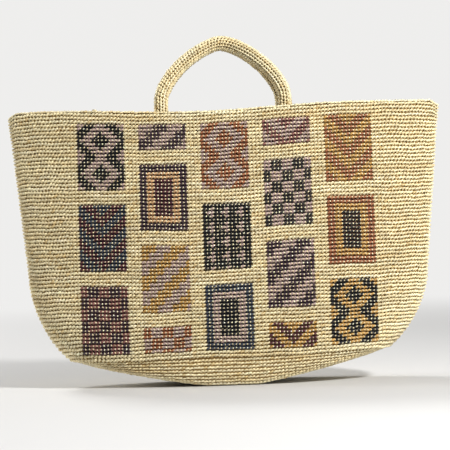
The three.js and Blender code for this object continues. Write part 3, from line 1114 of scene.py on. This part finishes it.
def layKnot():
    low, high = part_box("fasten_off_knot")
    turn = np.linspace(0, math.pi, knot["strands"], endpoint=False)
    cosine, sine = np.cos(turn), np.sin(turn)
    along = unit(np.stack([cosine, knot["deep"] * sine, knot["rise"] * np.cos(3 * turn)], 1))
    outward = np.stack([knot["tilt"] * sine, knot["tilt"] * cosine, np.ones(len(turn))], 1)
    up = unit(np.cross(outward, along))
    middle = np.array((low + high) / 2) - (0, 0, knot["sit"])
    return {
        "at": np.tile(middle, (len(turn), 1)),
        "along": along,
        "up": up,
        "out": unit(np.cross(along, up)),
        "wide": np.full(len(turn), knot["wide"]),
        "tall": np.full(len(turn), knot["tall"]),
    }


buildNatural("fasten_off_yarn", ply, layKnot(), "fasten_off_knot")
print("lashings and knot made")

# Floor that fades into the pale air round it, light and camera
stage = {
    "radius": 3.2,
    "fadeFrom": 0.7,
    "fadeTo": 2.2,
    "paper": (0.66, 0.655, 0.645, 1),
    "air": (0.86, 0.855, 0.845, 1),
    "soft": (1, 0.99, 0.97, 1),
    "softStrength": 0.1,
}


def makePaper():
    shade = Shade(bpy.data.materials.new("palePaper"))
    place = shade.node("ShaderNodeTexCoord", None, None, "Object")
    away = shade.node("ShaderNodeVectorMath", {"operation": "LENGTH"}, {0: place}, "Value")
    fade = shade.node(
        "ShaderNodeMapRange",
        {"interpolation_type": "SMOOTHSTEP"},
        {"Value": away, "From Min": stage["fadeFrom"], "From Max": stage["fadeTo"]},
    )
    seen = shade.node("ShaderNodeLightPath", None, None, "Is Camera Ray")
    air = shade.node("ShaderNodeEmission", None, {"Color": stage["air"]})
    paper = Value(shade, shade.tree.nodes["Principled BSDF"].outputs[0])
    both = shade.node("ShaderNodeMixShader", None, {0: fade * seen, 1: paper, 2: air})
    shade.feed(shade.tree.nodes["Material Output"].inputs["Surface"], both)
    return shade.finish({"Base Color": stage["paper"], "Roughness": 0.9})


def buildFloor():
    bm = bmesh.new()
    bmesh.ops.create_circle(bm, cap_ends=True, segments=96, radius=stage["radius"])
    mesh = bpy.data.meshes.new("floor")
    bm.to_mesh(mesh)
    bm.free()
    mesh.materials.append(makePaper())
    floor = bpy.data.objects.new("floor", mesh)
    scene.collection.objects.link(floor)


buildFloor()

aim = Vector((0, 0, 0.17))  # the middle of the bag
lights = {
    "key": {"at": (0.9, -1.02, 1.05), "size": 0.2, "power": 28},
    "fill": {"at": (2.0, -1.3, 0.45), "size": 1.0, "power": 10},
    "side": {"at": (-2.4, 0.35, 0.9), "size": 0.6, "power": 28},
    "back": {"at": (-1.2, 1.5, 2.0), "size": 0.8, "power": 40},
}
for name, light in lights.items():
    lamp = bpy.data.lights.new(name, "AREA")
    lamp.size = light["size"]
    lamp.energy = light["power"]
    holder = bpy.data.objects.new(name, lamp)
    scene.collection.objects.link(holder)
    holder.location = light["at"]
    towards = aim - holder.location
    holder.rotation_euler = towards.to_track_quat("-Z", "Y").to_euler()

scene.world = bpy.data.worlds.new("studio")
sky = Shade(scene.world)
seen = sum(
    sky.node("ShaderNodeLightPath", None, None, ray)
    for ray in ("Is Camera Ray", "Is Glossy Ray", "Is Transmission Ray")
)
dim = {"Color": stage["soft"], "Strength": stage["softStrength"]}
soft = sky.node("ShaderNodeBackground", None, dim)
air = sky.node("ShaderNodeBackground", None, {"Color": stage["air"], "Strength": 1.0})
around = sky.node("ShaderNodeMixShader", None, {0: seen, 1: soft, 2: air})
sky.feed(sky.tree.nodes["World Output"].inputs["Surface"], around)
scene.view_settings.view_transform = "Standard"

view = {
    "distance": 2.0,
    "height": 0.1652,
    "across": -0.002,
    "metresWide": 0.4725,
    "roll": 1.9,
    "sensor": 36.0,
}
camera = bpy.data.cameras.new("camera")
camera.sensor_width = view["sensor"]
camera.lens = view["sensor"] * view["distance"] / view["metresWide"]
eye = bpy.data.objects.new("camera", camera)
scene.collection.objects.link(eye)
eye.location = (view["across"], -view["distance"], view["height"])
eye.rotation_euler = (math.radians(90), math.radians(view["roll"]), 0)
scene.camera = eye

print("scene ready")
